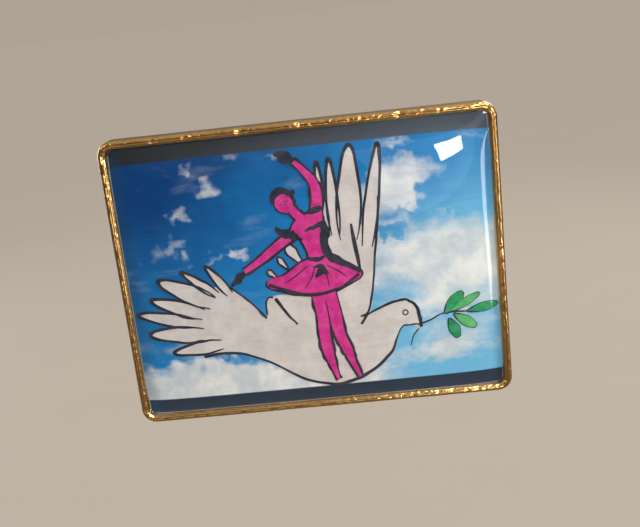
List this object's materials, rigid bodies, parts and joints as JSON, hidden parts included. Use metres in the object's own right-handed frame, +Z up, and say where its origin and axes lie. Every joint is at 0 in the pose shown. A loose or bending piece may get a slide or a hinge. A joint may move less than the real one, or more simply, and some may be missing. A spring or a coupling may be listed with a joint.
{
  "type": "lapel pin badge",
  "caption": "Rectangular metal lapel badge with a raised rim, a printed picture under clear domed resin, and a grooved post held by a butterfly clutch.",
  "frame": {"origin": "centre of the pan's back face, at the root of the post", "axes": "upright as worn: the picture faces -Y, +X is to the right of someone looking at the picture, +Z is up, and the post points back along +Y"},
  "size_m": [0.026, 0.0104, 0.02],
  "materials": {
    "gold_plate": "polished",
    "picture": "satin",
    "clear_resin": "gloss",
    "glue": "matte",
    "solder": "satin",
    "spring_gold": "polished"
  },
  "bodies": {
    "badge": {"badge_tray": "gold_plate", "label_adhesive": "glue", "printed_label": "picture", "resin_dome": "clear_resin", "pin_post": "gold_plate", "post_solder": "solder"},
    "clutch": {"clutch_cup": "gold_plate", "clutch_retainer": "gold_plate", "clutch_spring_base": "spring_gold"},
    "wing_left": {"clutch_wing_left": "spring_gold"},
    "wing_right": {"clutch_wing_right": "spring_gold"}
  },
  "joints": [
    {"name": "clutch_slide", "type": "slide", "parent": "badge", "child": "clutch", "axis": [0, 1, 0], "range_m": [-0.0025, 0.02]},
    {"name": "wing_left_squeeze", "type": "hinge", "parent": "clutch", "child": "wing_left", "pos_m": [-0.003, 0.00531, 0], "axis": [0, 0, -1], "range_deg": [0, 10], "stiffness_Nm_per_rad": 0.06},
    {"name": "wing_right_squeeze", "type": "hinge", "parent": "clutch", "child": "wing_right", "pos_m": [0.003, 0.00531, 0], "axis": [0, 0, 1], "range_deg": [0, 10], "stiffness_Nm_per_rad": 0.06}
  ]
}
